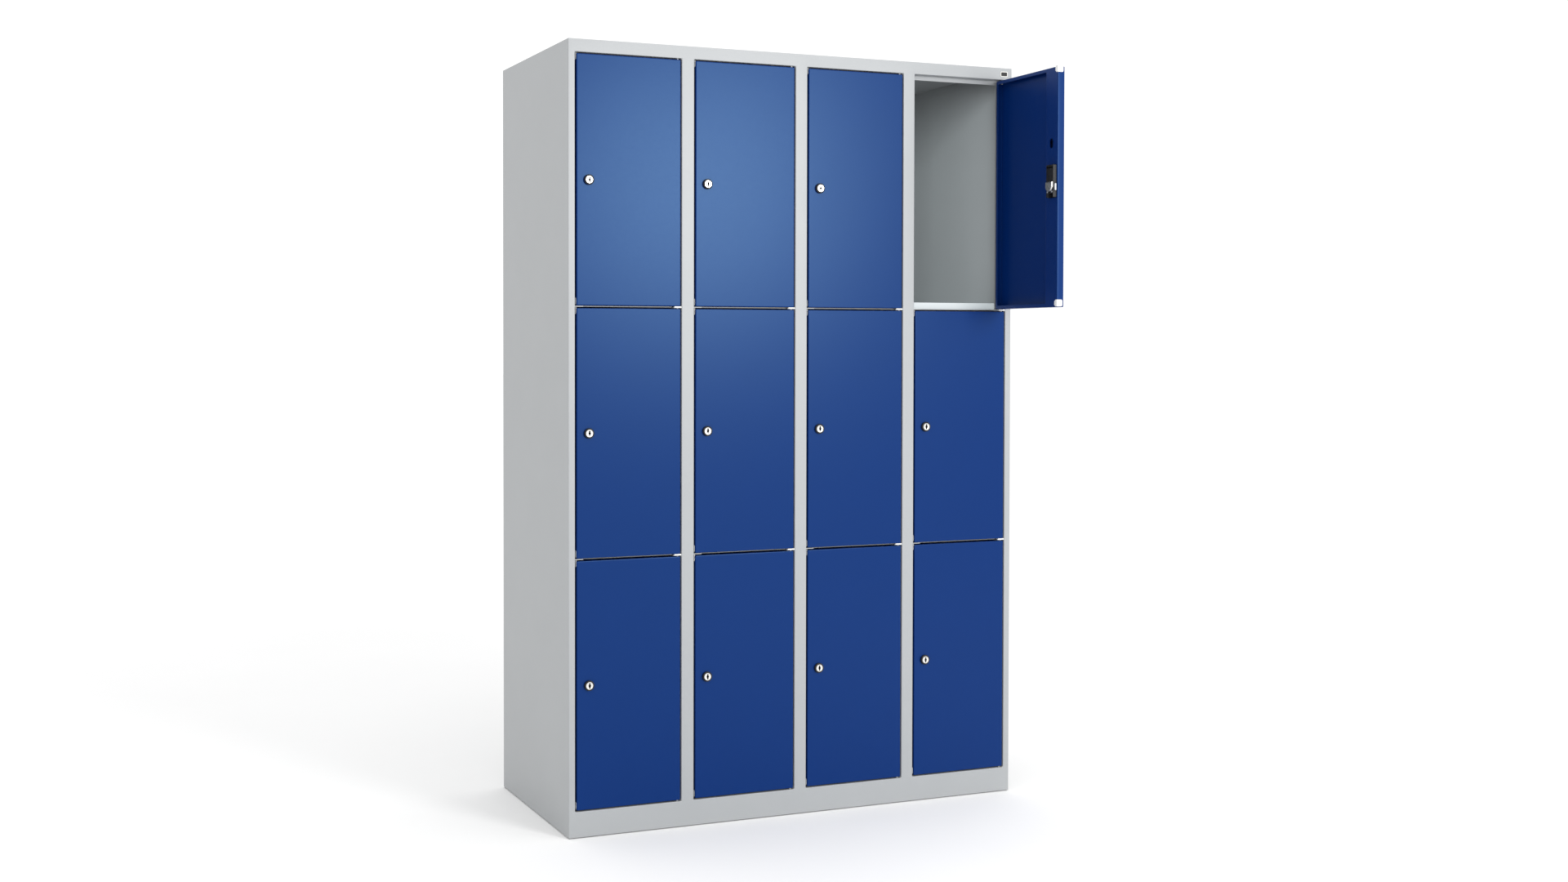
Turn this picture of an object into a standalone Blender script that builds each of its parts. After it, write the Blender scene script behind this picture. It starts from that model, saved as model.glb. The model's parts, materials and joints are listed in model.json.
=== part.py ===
"""Coin operated locker: a welded steel cabinet with four columns of three compartments.

Each compartment has a door on two pivot pins. A coin lock sits in the door: its case reaches
through the door, a key plug turns in the front, and a bolt slides out behind the front frame.
The upper right door stands open at a right angle, and all the others are closed.
"""

import math

import bmesh
import bpy
from mathutils import Matrix, Vector

# Sizes in metres. In the cabinet's own frame x runs right from the left side, y runs back from
# the front face and z runs up from the floor.
WIDTH = 1.200
DEPTH = 0.500
HEIGHT = 1.850
COLUMNS = 4
ROWS = 3
SHEET = 0.001
SEAM = 0.0004

# Front frame: stiles at the sides, mullions twice as wide, a top rail and a plinth.
STILE = 0.016
TOP_RAIL = 0.030
PLINTH_TOP = 0.062
GROUND_GAP = 0.002
RETURN_DEPTH = 0.022
LOCK_LIP = 0.012
HINGE_LIP = 0.018
TOP_LIP = 0.011
WELD = 0.0005

COLUMN_PITCH = WIDTH / COLUMNS
ROW_PITCH = (HEIGHT - TOP_RAIL - PLINTH_TOP) / ROWS
OPENING_TOP = HEIGHT - TOP_RAIL

# Doors: a pan with turned lips and a closed stiffener along the lock edge.
DOOR_GAP = 0.003
DOOR_WIDTH = COLUMN_PITCH - 2 * STILE - 2 * DOOR_GAP
DOOR_HEIGHT = ROW_PITCH - 2 * DOOR_GAP
DOOR_THICKNESS = 0.019
DOOR_LIP = 0.009
STIFFENER_WIDTH = 0.050
STIFFENER_GAP = 0.0006
OPEN_ANGLE = math.radians(90)

# Pivot pins and tabs. The pins are measured from the door's hinge edge and its front face.
PIVOT_INSET = 0.006
PIVOT_SETBACK = 0.006
PIN_RADIUS = 0.0025
PIN_LENGTH = 0.011
PIN_PLAY = 0.0004
TAB_WIDTH = 0.020
TAB_THICKNESS = 0.002
TAB_FRONT = 0.0015

# The door's own frame has its origin on the pivot axis at the door's lower edge.
DOOR_LEFT = PIVOT_INSET - DOOR_WIDTH
DOOR_FRONT = -PIVOT_SETBACK
DOOR_REAR = DOOR_FRONT + DOOR_THICKNESS
LOCK_HEIGHT = DOOR_HEIGHT / 2

# Coin lock, measured from the door's lock edge, back from its front face and up from the key plug.
PLUG_FROM_EDGE = 0.0305
PLUG_RADIUS = 0.009
PLUG_PLAY = 0.0003
PLUG_FRONT = -0.0066
PLUG_REAR = 0.016
BEZEL_RADIUS = 0.012
BEZEL_FRONT = -0.006
BARREL_RADIUS = 0.011
CASE_LEFT = 0.0055
CASE_RIGHT = 0.034
CASE_BOTTOM = -0.025
CASE_TOP = 0.054
CASE_REAR = 0.029
FLANGE_RIGHT = 0.042
FLANGE_MARGIN = 0.004
NOTCH_LEFT = 0.008
NOTCH_RIGHT = 0.026
NOTCH_HEIGHT = 0.010
COIN_SLOT_WIDTH = 0.0255
COIN_SLOT_HEIGHT = 0.0026
COIN_SLOT_RISE = 0.046
COIN_SLOT_DEPTH = 0.008
GUARD_RADIUS = 0.013
GUARD_RISE = 0.002
GUARD_TOP = 0.0126
GUARD_REAR = 0.036
HOLE_RISE = 0.107
HOLE_FROM_EDGE = 0.027
HOLE_RADIUS = 0.007
HOLE_STRETCH = 0.010

# Key hole and bolt.
KEYHOLE_RADIUS = 0.0019
KEYHOLE_WIDTH = 0.0024
KEYHOLE_HEIGHT = 0.0095
KEYHOLE_DEPTH = 0.008
BOLT_LENGTH = 0.024
BOLT_HEIGHT = 0.017
BOLT_THICKNESS = 0.0045
BOLT_FRONT = 0.0226
BOLT_BEVEL = 0.0008

# Shelf tiers and partitions.
SHELF_RISE = 0.0185
SHELF_FRONT = 0.0226
SHELF_REAR = 0.497
SHELF_FLANGE = 0.012
PARTITION_FRONT = 0.003
SLOT_MARGIN = 0.0355
REAR_MARGIN = 0.0105
NOTCH_HALF_WIDTH = 0.0012

# Side, rear and top panels.
SIDE_REAR_FLANGE = 0.015
REAR_PANEL_INSET = 0.0024
TOP_FLANGE = 0.020
REAR_PANEL_BOTTOM = 0.004

# Base frame: an angle ring on four levelling feet.
BASE_INSET = 0.0035
BASE_BOTTOM = 0.012
BASE_TOP = 0.037
BASE_WIDTH = 0.030
BASE_SHEET = 0.002
FOOT_INSET = 0.022
FOOT_RADIUS = 0.015
FOOT_HEIGHT = 0.006
STEM_RADIUS = 0.005

ROUND_SIDES = 24
PIN_SIDES = 12
SMOOTH_ANGLE = math.radians(40)

# Paint and metal: base colour, roughness and metallic value.
LIGHT_GREY_PAINT = ("light_grey_powder_coat", (0.60, 0.63, 0.64), 0.42, 0.0)
BLUE_PAINT = ("blue_powder_coat", (0.016, 0.058, 0.235), 0.40, 0.0)
BLACK_PLASTIC = ("black_lock_plastic", (0.012, 0.012, 0.013), 0.45, 0.0)
NICKEL = ("nickel_plated_zinc", (0.72, 0.72, 0.70), 0.24, 1.0)
STEEL = ("zinc_plated_steel", (0.58, 0.59, 0.60), 0.34, 1.0)


def clear_scene():
    for obj in list(bpy.data.objects):
        bpy.data.objects.remove(obj, do_unlink=True)


def new_collection(name, parent=None):
    collection = bpy.data.collections.new(name)
    (parent or bpy.context.scene.collection).children.link(collection)
    return collection


def new_material(node_name, finish):
    """The node's own Principled material in one of the finishes above."""
    name, colour, roughness, metallic = finish
    material = bpy.data.materials.new(f"{name}.{node_name}")
    material.use_nodes = True
    shader = material.node_tree.nodes["Principled BSDF"]
    shader.inputs["Base Color"].default_value = (*colour, 1.0)
    shader.inputs["Roughness"].default_value = roughness
    shader.inputs["Metallic"].default_value = metallic
    return material


def mesh_from(bm, name):
    mesh = bpy.data.meshes.new(name)
    bm.to_mesh(mesh)
    bm.free()
    return mesh


def box(low, high):
    """A closed box between two corners, from the cube primitive."""
    low = Vector(low)
    high = Vector(high)
    bm = bmesh.new()
    bmesh.ops.create_cube(bm, size=1.0)
    bmesh.ops.scale(bm, vec=high - low, verts=bm.verts)
    bmesh.ops.translate(bm, vec=(high + low) / 2, verts=bm.verts)
    return bm


def rod(radius, start, end, sides=ROUND_SIDES):
    """A closed cylinder between two points."""
    start = Vector(start)
    end = Vector(end)
    axis = end - start
    bm = bmesh.new()
    bmesh.ops.create_cone(
        bm, cap_ends=True, segments=sides, radius1=radius, radius2=radius, depth=axis.length
    )
    turn = axis.to_track_quat("Z", "Y").to_matrix()
    bmesh.ops.rotate(bm, matrix=turn, verts=bm.verts)
    bmesh.ops.translate(bm, vec=(start + end) / 2, verts=bm.verts)
    return bm


def folded_sheet(profile, sweep):
    """An open surface bent along the profile's points and swept along one direction.

    Its outer side faces along the profile's direction crossed with the sweep.
    """
    bends = len(profile) - 1
    sweep = Vector(sweep)
    bm = bmesh.new()
    bmesh.ops.create_grid(bm, x_segments=bends, y_segments=1, size=0.5)
    for vert in bm.verts:
        step = round((vert.co.x + 0.5) * bends)
        vert.co = Vector(profile[step]) + sweep * round(vert.co.y + 0.5)
    return bm


def add_object(name, bm, collection, parent=None):
    obj = bpy.data.objects.new(name, mesh_from(bm, name))
    collection.objects.link(obj)
    obj.parent = parent
    return obj


def thicken(obj, thickness=SHEET):
    """Gives an open surface the sheet's thickness, behind its outer side."""
    sheet = obj.modifiers.new("sheet", "SOLIDIFY")
    sheet.solidify_mode = "NON_MANIFOLD"
    sheet.nonmanifold_thickness_mode = "CONSTRAINTS"
    sheet.thickness = thickness
    sheet.offset = -1.0


def combine(obj, shapes, operation):
    """Joins the shapes to the object or cuts them from it, with one exact Boolean."""
    home = new_collection(f"{obj.name}_{operation.lower()}", bpy.data.collections["cutters"])
    for number, shape in enumerate(shapes):
        helper = add_object(f"{home.name}_{number}", shape, home, obj.parent)
        helper.hide_render = True
        helper.display_type = "WIRE"
    boolean = obj.modifiers.new(operation.lower(), "BOOLEAN")
    boolean.operation = operation
    boolean.solver = "EXACT"
    boolean.operand_type = "COLLECTION"
    boolean.collection = home


def shade_round(mesh):
    mesh.shade_smooth()
    mesh.set_sharp_from_angle(angle=SMOOTH_ANGLE)


def applied_mesh(obj):
    """The object's mesh with its modifiers applied, for the copies to share."""
    bpy.context.view_layer.update()
    graph = bpy.context.evaluated_depsgraph_get()
    mesh = bpy.data.meshes.new_from_object(obj.evaluated_get(graph))
    mesh.name = obj.name
    return mesh


def make_template(name, bm, cuts=(), joins=(), sheet=False, bevel=0.0):
    """The finished mesh of a repeated piece. Its modifiers are applied once."""
    drafts = bpy.data.collections["cutters"]
    draft = add_object(name, bm, drafts)
    draft.hide_render = True
    if sheet:
        thicken(draft)
    if joins:
        combine(draft, joins, "UNION")
    if cuts:
        combine(draft, cuts, "DIFFERENCE")
    if bevel:
        edge = draft.modifiers.new("bevel", "BEVEL")
        edge.width = bevel
        edge.segments = 1
    mesh = applied_mesh(draft)
    shade_round(mesh)
    bpy.data.objects.remove(draft, do_unlink=True)
    return mesh


def place_copy(name, template, collection, parent, finish):
    """One more object of a repeated piece, with the shared mesh and its own material."""
    obj = bpy.data.objects.new(name, template)
    collection.objects.link(obj)
    obj.parent = parent
    if not template.materials:
        template.materials.append(None)
    obj.material_slots[0].link = "OBJECT"
    obj.material_slots[0].material = new_material(name, finish)
    return obj


def add_panel(name, bm, collection, parent, sheet=True):
    """A single node of the cabinet in light grey paint."""
    obj = add_object(name, bm, collection, parent)
    obj.data.materials.append(new_material(name, LIGHT_GREY_PAINT))
    if sheet:
        thicken(obj)
    return obj


def opening_left(column):
    return column * COLUMN_PITCH + STILE


def opening_right(column):
    return (column + 1) * COLUMN_PITCH - STILE


def pivot_x(column):
    return opening_right(column) - DOOR_GAP - PIVOT_INSET


def tier_height(row):
    """The middle of the gap under a row of doors. Row 0 is the top row."""
    return OPENING_TOP - (row + 1) * ROW_PITCH


def frame_surface():
    """The frame's face with one tall opening per column, and returns folded back around each."""
    across = [0.0]
    for column in range(COLUMNS):
        across += [opening_left(column), opening_right(column)]
    across.append(WIDTH)
    upward = [GROUND_GAP, PLINTH_TOP, OPENING_TOP, HEIGHT]
    bm = bmesh.new()
    columns = len(across) - 1
    rows = len(upward) - 1
    bmesh.ops.create_grid(bm, x_segments=columns, y_segments=rows, size=0.5)
    for vert in bm.verts:
        step_x = round((vert.co.x + 0.5) * columns)
        step_z = round((vert.co.y + 0.5) * rows)
        vert.co = Vector((across[step_x], 0.0, upward[step_z]))
    holes = [face for face in bm.faces if is_opening(face.calc_center_median())]
    bmesh.ops.delete(bm, geom=holes, context="FACES_ONLY")
    rims = [edge for edge in bm.edges if edge.is_boundary and is_inner(edge)]
    made = bmesh.ops.extrude_edge_only(bm, edges=rims)
    verts = [item for item in made["geom"] if isinstance(item, bmesh.types.BMVert)]
    bmesh.ops.translate(bm, vec=(0.0, RETURN_DEPTH, 0.0), verts=verts)
    face_front(bm)
    return bm


def is_opening(point):
    """Whether a point of the frame's face lies inside one of the openings."""
    if not PLINTH_TOP < point.z < OPENING_TOP:
        return False
    return any(opening_left(c) < point.x < opening_right(c) for c in range(COLUMNS))


def is_inner(edge):
    middle = (edge.verts[0].co + edge.verts[1].co) / 2
    inside_width = STILE / 2 < middle.x < WIDTH - STILE / 2
    inside_height = PLINTH_TOP / 2 < middle.z < HEIGHT - TOP_RAIL / 2
    return inside_width and inside_height


def face_front(bm):
    """Makes the normals agree, with the foremost faces looking to the front."""
    bmesh.ops.recalc_face_normals(bm, faces=bm.faces)
    foremost = min(bm.faces, key=lambda face: face.calc_center_median().y)
    if foremost.normal.y > 0:
        bmesh.ops.reverse_faces(bm, faces=bm.faces)


def frame_lips(column):
    """Lips at the rear of one opening: turned away from it at the lock side and the bottom,
    and into it as door stops at the hinge side and the top."""
    left = opening_left(column)
    right = opening_right(column)
    front = RETURN_DEPTH - SHEET
    rear = RETURN_DEPTH
    return [
        box((left - LOCK_LIP, front, PLINTH_TOP), (left - WELD, rear, OPENING_TOP)),
        box((right - HINGE_LIP, front, PLINTH_TOP - WELD), (right + WELD, rear, OPENING_TOP + WELD)),
        box((left - WELD, front, OPENING_TOP - TOP_LIP), (right - WELD, rear, OPENING_TOP + WELD)),
        box((left, front, PLINTH_TOP - LOCK_LIP), (right - WELD, rear, PLINTH_TOP - WELD)),
    ]


def frame_pivots(column):
    """The pivot pins of one column: a tab with a pin between two doors, and plain pins at the
    top and the bottom."""
    x = pivot_x(column)
    y = PIVOT_SETBACK
    right = opening_right(column)
    half = TAB_THICKNESS / 2
    shapes = [
        rod(PIN_RADIUS, (x, y, OPENING_TOP - PIN_LENGTH), (x, y, OPENING_TOP + WELD), PIN_SIDES),
        rod(PIN_RADIUS, (x, y, PLINTH_TOP - WELD), (x, y, PLINTH_TOP + PIN_LENGTH), PIN_SIDES),
    ]
    for row in range(ROWS - 1):
        z = tier_height(row)
        low = (right - TAB_WIDTH, TAB_FRONT, z - half)
        high = (right + WELD, RETURN_DEPTH - WELD, z + half)
        shapes.append(box(low, high))
        shapes.append(rod(PIN_RADIUS, (x, y, z - PIN_LENGTH), (x, y, z + PIN_LENGTH), PIN_SIDES))
    return shapes


def add_front_frame(collection, parent):
    frame = add_panel("front_frame", frame_surface(), collection, parent)
    welded = []
    for column in range(COLUMNS):
        welded += frame_lips(column)
        welded += frame_pivots(column)
    combine(frame, welded, "UNION")


def add_side_panel(name, outer, inward, collection, parent):
    """A side with a flange turned inward at its rear edge."""
    front = SHEET + SEAM
    flange_end = outer + inward * SIDE_REAR_FLANGE
    profile = [
        (outer, front, GROUND_GAP),
        (outer, DEPTH, GROUND_GAP),
        (flange_end, DEPTH, GROUND_GAP),
    ]
    if inward > 0:
        profile.reverse()
    add_panel(name, folded_sheet(profile, (0.0, 0.0, HEIGHT - GROUND_GAP)), collection, parent)


def add_top_panel(collection, parent):
    """A shallow pan, open below, between the sides and behind the front frame."""
    inset = SHEET + SEAM
    low = (inset, inset, HEIGHT - TOP_FLANGE)
    high = (WIDTH - inset, DEPTH - inset, HEIGHT)
    bm = box(low, high)
    lowest = min(bm.faces, key=lambda face: face.calc_center_median().z)
    bmesh.ops.delete(bm, geom=[lowest], context="FACES_ONLY")
    add_panel("top_panel", bm, collection, parent)


def add_rear_panel(collection, parent):
    inset = SHEET + SEAM
    low = (inset, DEPTH - REAR_PANEL_INSET, REAR_PANEL_BOTTOM)
    high = (WIDTH - inset, DEPTH - inset, HEIGHT - TOP_FLANGE - SEAM)
    add_panel("rear_panel", box(low, high), collection, parent, sheet=False)


def add_floor_panel(collection, parent):
    """The floor of the lowest compartments, with its front and rear edges turned down."""
    inset = SHEET + SEAM
    level = PLINTH_TOP + SHELF_RISE
    profile = [
        (inset, SHELF_FRONT, PLINTH_TOP + SEAM),
        (inset, SHELF_FRONT, level),
        (inset, SHELF_REAR, level),
        (inset, SHELF_REAR, level - TOP_FLANGE),
    ]
    profile.reverse()
    add_panel("floor_panel", folded_sheet(profile, (WIDTH - 2 * inset, 0.0, 0.0)), collection, parent)


def partition_notches(level):
    """Cuts that clear each partition's uncut edges at the front and the rear of a shelf tier."""
    low = level - TOP_FLANGE - WELD
    high = level + WELD
    cuts = []
    for column in range(1, COLUMNS):
        x = column * COLUMN_PITCH
        left = x - NOTCH_HALF_WIDTH
        right = x + NOTCH_HALF_WIDTH
        cuts.append(box((left, 0.0, low), (right, SLOT_MARGIN, high)))
        cuts.append(box((left, DEPTH - REAR_MARGIN, low), (right, DEPTH, high)))
    return cuts


def add_shelf_tier(name, row, collection, parent):
    """One level of shelves: a single sheet through the partitions' slots, with its edges
    turned down."""
    inset = SHEET + SEAM
    lowest = tier_height(row) + SEAM
    level = tier_height(row) + SHELF_RISE
    profile = [
        (inset, SHELF_FRONT, lowest),
        (inset, SHELF_FRONT, level),
        (inset, SHELF_REAR, level),
        (inset, SHELF_REAR, level - SHELF_FLANGE),
    ]
    profile.reverse()
    surface = folded_sheet(profile, (WIDTH - 2 * inset, 0.0, 0.0))
    tier = add_panel(name, surface, collection, parent)
    combine(tier, partition_notches(level), "DIFFERENCE")


def add_partition(column, collection, parent):
    """A wall between two columns, with a slot for each shelf tier."""
    x = column * COLUMN_PITCH
    half = SHEET / 2
    low = (x - half, PARTITION_FRONT, PLINTH_TOP + SHELF_RISE + SEAM)
    high = (x + half, SHELF_REAR, HEIGHT - SHEET - SEAM)
    wall = add_panel(f"partition_{column}", box(low, high), collection, parent, sheet=False)
    slots = []
    for row in range(ROWS - 1):
        level = tier_height(row) + SHELF_RISE
        start = (x - SHEET, SLOT_MARGIN - SEAM, level - SHEET - SEAM)
        end = (x + SHEET, DEPTH - REAR_MARGIN + SEAM, level + SEAM)
        slots.append(box(start, end))
    combine(wall, slots, "DIFFERENCE")


def add_base_frame(collection, parent):
    """An angle ring under the floor, standing on four levelling feet."""
    low = (BASE_INSET, BASE_INSET, BASE_BOTTOM)
    high = (WIDTH - BASE_INSET, DEPTH - BASE_INSET, BASE_TOP)
    bm = box(low, high)
    lowest = min(bm.faces, key=lambda face: face.calc_center_median().z)
    highest = max(bm.faces, key=lambda face: face.calc_center_median().z)
    bmesh.ops.inset_region(bm, faces=[highest], thickness=BASE_WIDTH, use_even_offset=True)
    bmesh.ops.delete(bm, geom=[lowest, highest], context="FACES_ONLY")
    ring = add_object("base_frame", bm, collection, parent)
    ring.data.materials.append(new_material("base_frame", STEEL))
    thicken(ring, BASE_SHEET)
    feet = []
    for x in (FOOT_INSET, WIDTH - FOOT_INSET):
        for y in (FOOT_INSET, DEPTH - FOOT_INSET):
            feet.append(rod(FOOT_RADIUS, (x, y, 0.0), (x, y, FOOT_HEIGHT)))
            feet.append(rod(STEM_RADIUS, (x, y, FOOT_HEIGHT / 2), (x, y, BASE_TOP + SHEET), PIN_SIDES))
    combine(ring, feet, "UNION")


def lock_point(from_edge, back, rise):
    """A point of the lock in the door's own frame."""
    return Vector((DOOR_LEFT + from_edge, DOOR_FRONT + back, LOCK_HEIGHT + rise))


def lock_box(from_edge, back, rise):
    """A box of the lock from its ranges across, back and up."""
    low = lock_point(from_edge[0], back[0], rise[0])
    high = lock_point(from_edge[1], back[1], rise[1])
    return box(low, high)


def lock_rod(radius, from_edge, back, rise=0.0):
    """A cylinder of the lock that runs from front to back."""
    return rod(radius, lock_point(from_edge, back[0], rise), lock_point(from_edge, back[1], rise))


def door_surface():
    """A pan with lips turned in behind it, the lock side's lip widened into a stiffener."""
    bm = box((DOOR_LEFT, DOOR_FRONT, 0.0), (PIVOT_INSET, DOOR_REAR, DOOR_HEIGHT))
    rear = max(bm.faces, key=lambda face: face.calc_center_median().y)
    bmesh.ops.inset_region(bm, faces=[rear], thickness=DOOR_LIP, use_even_offset=True)
    middle = DOOR_LEFT + DOOR_WIDTH / 2
    lock_side = [vert for vert in rear.verts if vert.co.x < middle]
    for vert in lock_side:
        vert.co.x = DOOR_LEFT + STIFFENER_WIDTH
    stiffener_edge = [edge for edge in rear.edges if set(edge.verts) == set(lock_side)]
    bmesh.ops.delete(bm, geom=[rear], context="FACES_ONLY")
    made = bmesh.ops.extrude_edge_only(bm, edges=stiffener_edge)
    verts = [item for item in made["geom"] if isinstance(item, bmesh.types.BMVert)]
    flange_depth = DOOR_THICKNESS - SHEET - STIFFENER_GAP
    bmesh.ops.translate(bm, vec=(0.0, -flange_depth, 0.0), verts=verts)
    face_front(bm)
    return bm


def door_cuts():
    """Holes for the lock, the pivot pins and the oblong hole above the lock."""
    hole_back = (DOOR_THICKNESS - 3 * SHEET, DOOR_THICKNESS + SHEET)
    pin_hole = PIN_RADIUS + PIN_PLAY
    window_width = (CASE_LEFT - SEAM, CASE_RIGHT + SEAM)
    window_height = (CASE_BOTTOM - SEAM, CASE_TOP + SEAM)
    half_stretch = HOLE_STRETCH / 2
    slot_width = (HOLE_FROM_EDGE - HOLE_RADIUS, HOLE_FROM_EDGE + HOLE_RADIUS)
    slot_height = (HOLE_RISE - half_stretch, HOLE_RISE + half_stretch)
    cuts = [
        lock_rod(BARREL_RADIUS + PLUG_PLAY, PLUG_FROM_EDGE, (-SHEET, 3 * SHEET)),
        lock_box(window_width, hole_back, window_height),
        lock_box(slot_width, hole_back, slot_height),
        rod(pin_hole, (0.0, 0.0, -SHEET), (0.0, 0.0, 2 * SHEET), PIN_SIDES),
        rod(pin_hole, (0.0, 0.0, DOOR_HEIGHT - 2 * SHEET), (0.0, 0.0, DOOR_HEIGHT + SHEET), PIN_SIDES),
    ]
    for rise in slot_height:
        cuts.append(lock_rod(HOLE_RADIUS, HOLE_FROM_EDGE, hole_back, rise))
    return cuts


def case_joins():
    """The rest of the lock case: barrel, bezel, rear housing and the guard over its back."""
    guard_centre = (CASE_LEFT + CASE_RIGHT) / 2
    guard_width = (guard_centre - GUARD_RADIUS, guard_centre + GUARD_RADIUS)
    guard_back = (CASE_REAR - SHEET, GUARD_REAR)
    housing_back = (DOOR_THICKNESS - 2 * SHEET, CASE_REAR)
    return [
        lock_rod(BARREL_RADIUS, PLUG_FROM_EDGE, (-SHEET, 3 * SHEET)),
        lock_rod(BEZEL_RADIUS, PLUG_FROM_EDGE, (BEZEL_FRONT, -SEAM)),
        lock_box((CASE_LEFT, CASE_RIGHT), housing_back, (CASE_BOTTOM, CASE_TOP)),
        lock_box(guard_width, guard_back, (GUARD_RISE, GUARD_TOP)),
        lock_rod(GUARD_RADIUS, guard_centre, guard_back, GUARD_RISE),
    ]


def case_cuts():
    """Bore for the key plug, pocket for the bolt, coin slot and the notch under the case."""
    plug_bore = PLUG_RADIUS + PLUG_PLAY
    slot_middle = (CASE_LEFT + CASE_RIGHT) / 2
    slot_width = (slot_middle - COIN_SLOT_WIDTH / 2, slot_middle + COIN_SLOT_WIDTH / 2)
    slot_back = (CASE_REAR - COIN_SLOT_DEPTH, CASE_REAR + SHEET)
    slot_height = (COIN_SLOT_RISE, COIN_SLOT_RISE + COIN_SLOT_HEIGHT)
    pocket_width = (-SHEET, BOLT_LENGTH + SHEET)
    pocket_back = (BOLT_FRONT - SEAM, BOLT_FRONT + BOLT_THICKNESS + SEAM)
    pocket_height = (-BOLT_HEIGHT / 2 - SEAM, BOLT_HEIGHT / 2 + SEAM)
    notch_back = (DOOR_THICKNESS, CASE_REAR + SHEET)
    notch_height = (CASE_BOTTOM - SHEET, CASE_BOTTOM + NOTCH_HEIGHT)
    return [
        lock_rod(plug_bore, PLUG_FROM_EDGE, (BEZEL_FRONT - SHEET, PLUG_REAR + SEAM)),
        lock_box(slot_width, slot_back, slot_height),
        lock_box(pocket_width, pocket_back, pocket_height),
        lock_box((NOTCH_LEFT, NOTCH_RIGHT), notch_back, notch_height),
    ]


def case_flange():
    """The part of the lock case that fills the stiffener behind the door's skin."""
    return lock_box(
        (CASE_LEFT, FLANGE_RIGHT),
        (SHEET + SEAM, DOOR_THICKNESS - SHEET - SEAM),
        (CASE_BOTTOM - FLANGE_MARGIN, CASE_TOP + FLANGE_MARGIN),
    )


def plug_cuts():
    half_width = KEYHOLE_WIDTH / 2
    half_height = KEYHOLE_HEIGHT / 2
    reach = (PLUG_FRONT - SHEET, PLUG_FRONT + KEYHOLE_DEPTH)
    across = (PLUG_FROM_EDGE - half_width, PLUG_FROM_EDGE + half_width)
    return [
        lock_box(across, reach, (-half_height, half_height)),
        lock_rod(KEYHOLE_RADIUS, PLUG_FROM_EDGE, (PLUG_FRONT - SHEET, PLUG_FRONT + KEYHOLE_DEPTH)),
    ]


def bolt_box():
    return lock_box(
        (WELD, BOLT_LENGTH),
        (BOLT_FRONT, BOLT_FRONT + BOLT_THICKNESS),
        (-BOLT_HEIGHT / 2, BOLT_HEIGHT / 2),
    )


def centred_on(mesh, point):
    """Moves the mesh so that the point becomes its origin."""
    mesh.transform(Matrix.Translation(-point))
    return mesh


def make_door_templates():
    """The four repeated pieces of a door, each with the point that becomes its origin."""
    plug_origin = lock_point(PLUG_FROM_EDGE, 0.0, 0.0)
    bolt_origin = lock_point(0.0, BOLT_FRONT, 0.0)
    plug = lock_rod(PLUG_RADIUS, PLUG_FROM_EDGE, (PLUG_FRONT, PLUG_REAR))
    door_mesh = make_template("door_pan", door_surface(), cuts=door_cuts(), sheet=True)
    case_mesh = make_template("lock_case", case_flange(), cuts=case_cuts(), joins=case_joins())
    plug_mesh = make_template("key_plug", plug, cuts=plug_cuts())
    bolt_mesh = make_template("lock_bolt", bolt_box(), bevel=BOLT_BEVEL)
    return (
        ("door", door_mesh, Vector(), BLUE_PAINT),
        ("coin_lock_case", case_mesh, Vector(), BLACK_PLASTIC),
        ("key_plug", centred_on(plug_mesh, plug_origin), plug_origin, NICKEL),
        ("lock_bolt", centred_on(bolt_mesh, bolt_origin), bolt_origin, STEEL),
    )


def add_door(row, column, templates, collection, parent):
    """One door with its lock, on an empty that stands on the pivot axis."""
    label = f"r{row + 1}c{column + 1}"
    hinge = bpy.data.objects.new(f"hinge_{label}", None)
    collection.objects.link(hinge)
    hinge.parent = parent
    hinge.location = (pivot_x(column), PIVOT_SETBACK, tier_height(row) + DOOR_GAP)
    if row == 0 and column == COLUMNS - 1:
        hinge.rotation_euler.z = OPEN_ANGLE
    for kind, template, origin, finish in templates:
        piece = place_copy(f"{kind}_{label}", template, collection, hinge, finish)
        piece.location = origin


def main():
    clear_scene()
    parts = new_collection("coin_operated_locker")
    new_collection("cutters")
    cabinet = bpy.data.objects.new("cabinet_origin", None)
    parts.objects.link(cabinet)
    open_door_reach = DOOR_WIDTH - PIVOT_INSET - PIVOT_SETBACK
    cabinet.location = (-WIDTH / 2, (open_door_reach - DEPTH) / 2, 0.0)
    add_front_frame(parts, cabinet)
    add_side_panel("side_panel_left", 0.0, 1.0, parts, cabinet)
    add_side_panel("side_panel_right", WIDTH, -1.0, parts, cabinet)
    add_top_panel(parts, cabinet)
    add_rear_panel(parts, cabinet)
    add_floor_panel(parts, cabinet)
    add_base_frame(parts, cabinet)
    for column in range(1, COLUMNS):
        add_partition(column, parts, cabinet)
    add_shelf_tier("shelf_tier_upper", 0, parts, cabinet)
    add_shelf_tier("shelf_tier_lower", 1, parts, cabinet)
    templates = make_door_templates()
    for row in range(ROWS):
        for column in range(COLUMNS):
            add_door(row, column, templates, parts, cabinet)
    bpy.context.view_layer.update()


main()
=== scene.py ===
"""Looks of the coin operated locker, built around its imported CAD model.

The sheet metal gets real bend radii, the locks get their turned and moulded detail, and the small
white plastic pieces are added. Everything is in metres, in the frame of the CAD model.
"""

import json
import math

import bmesh
import bpy
from mathutils import Matrix, Vector

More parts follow.
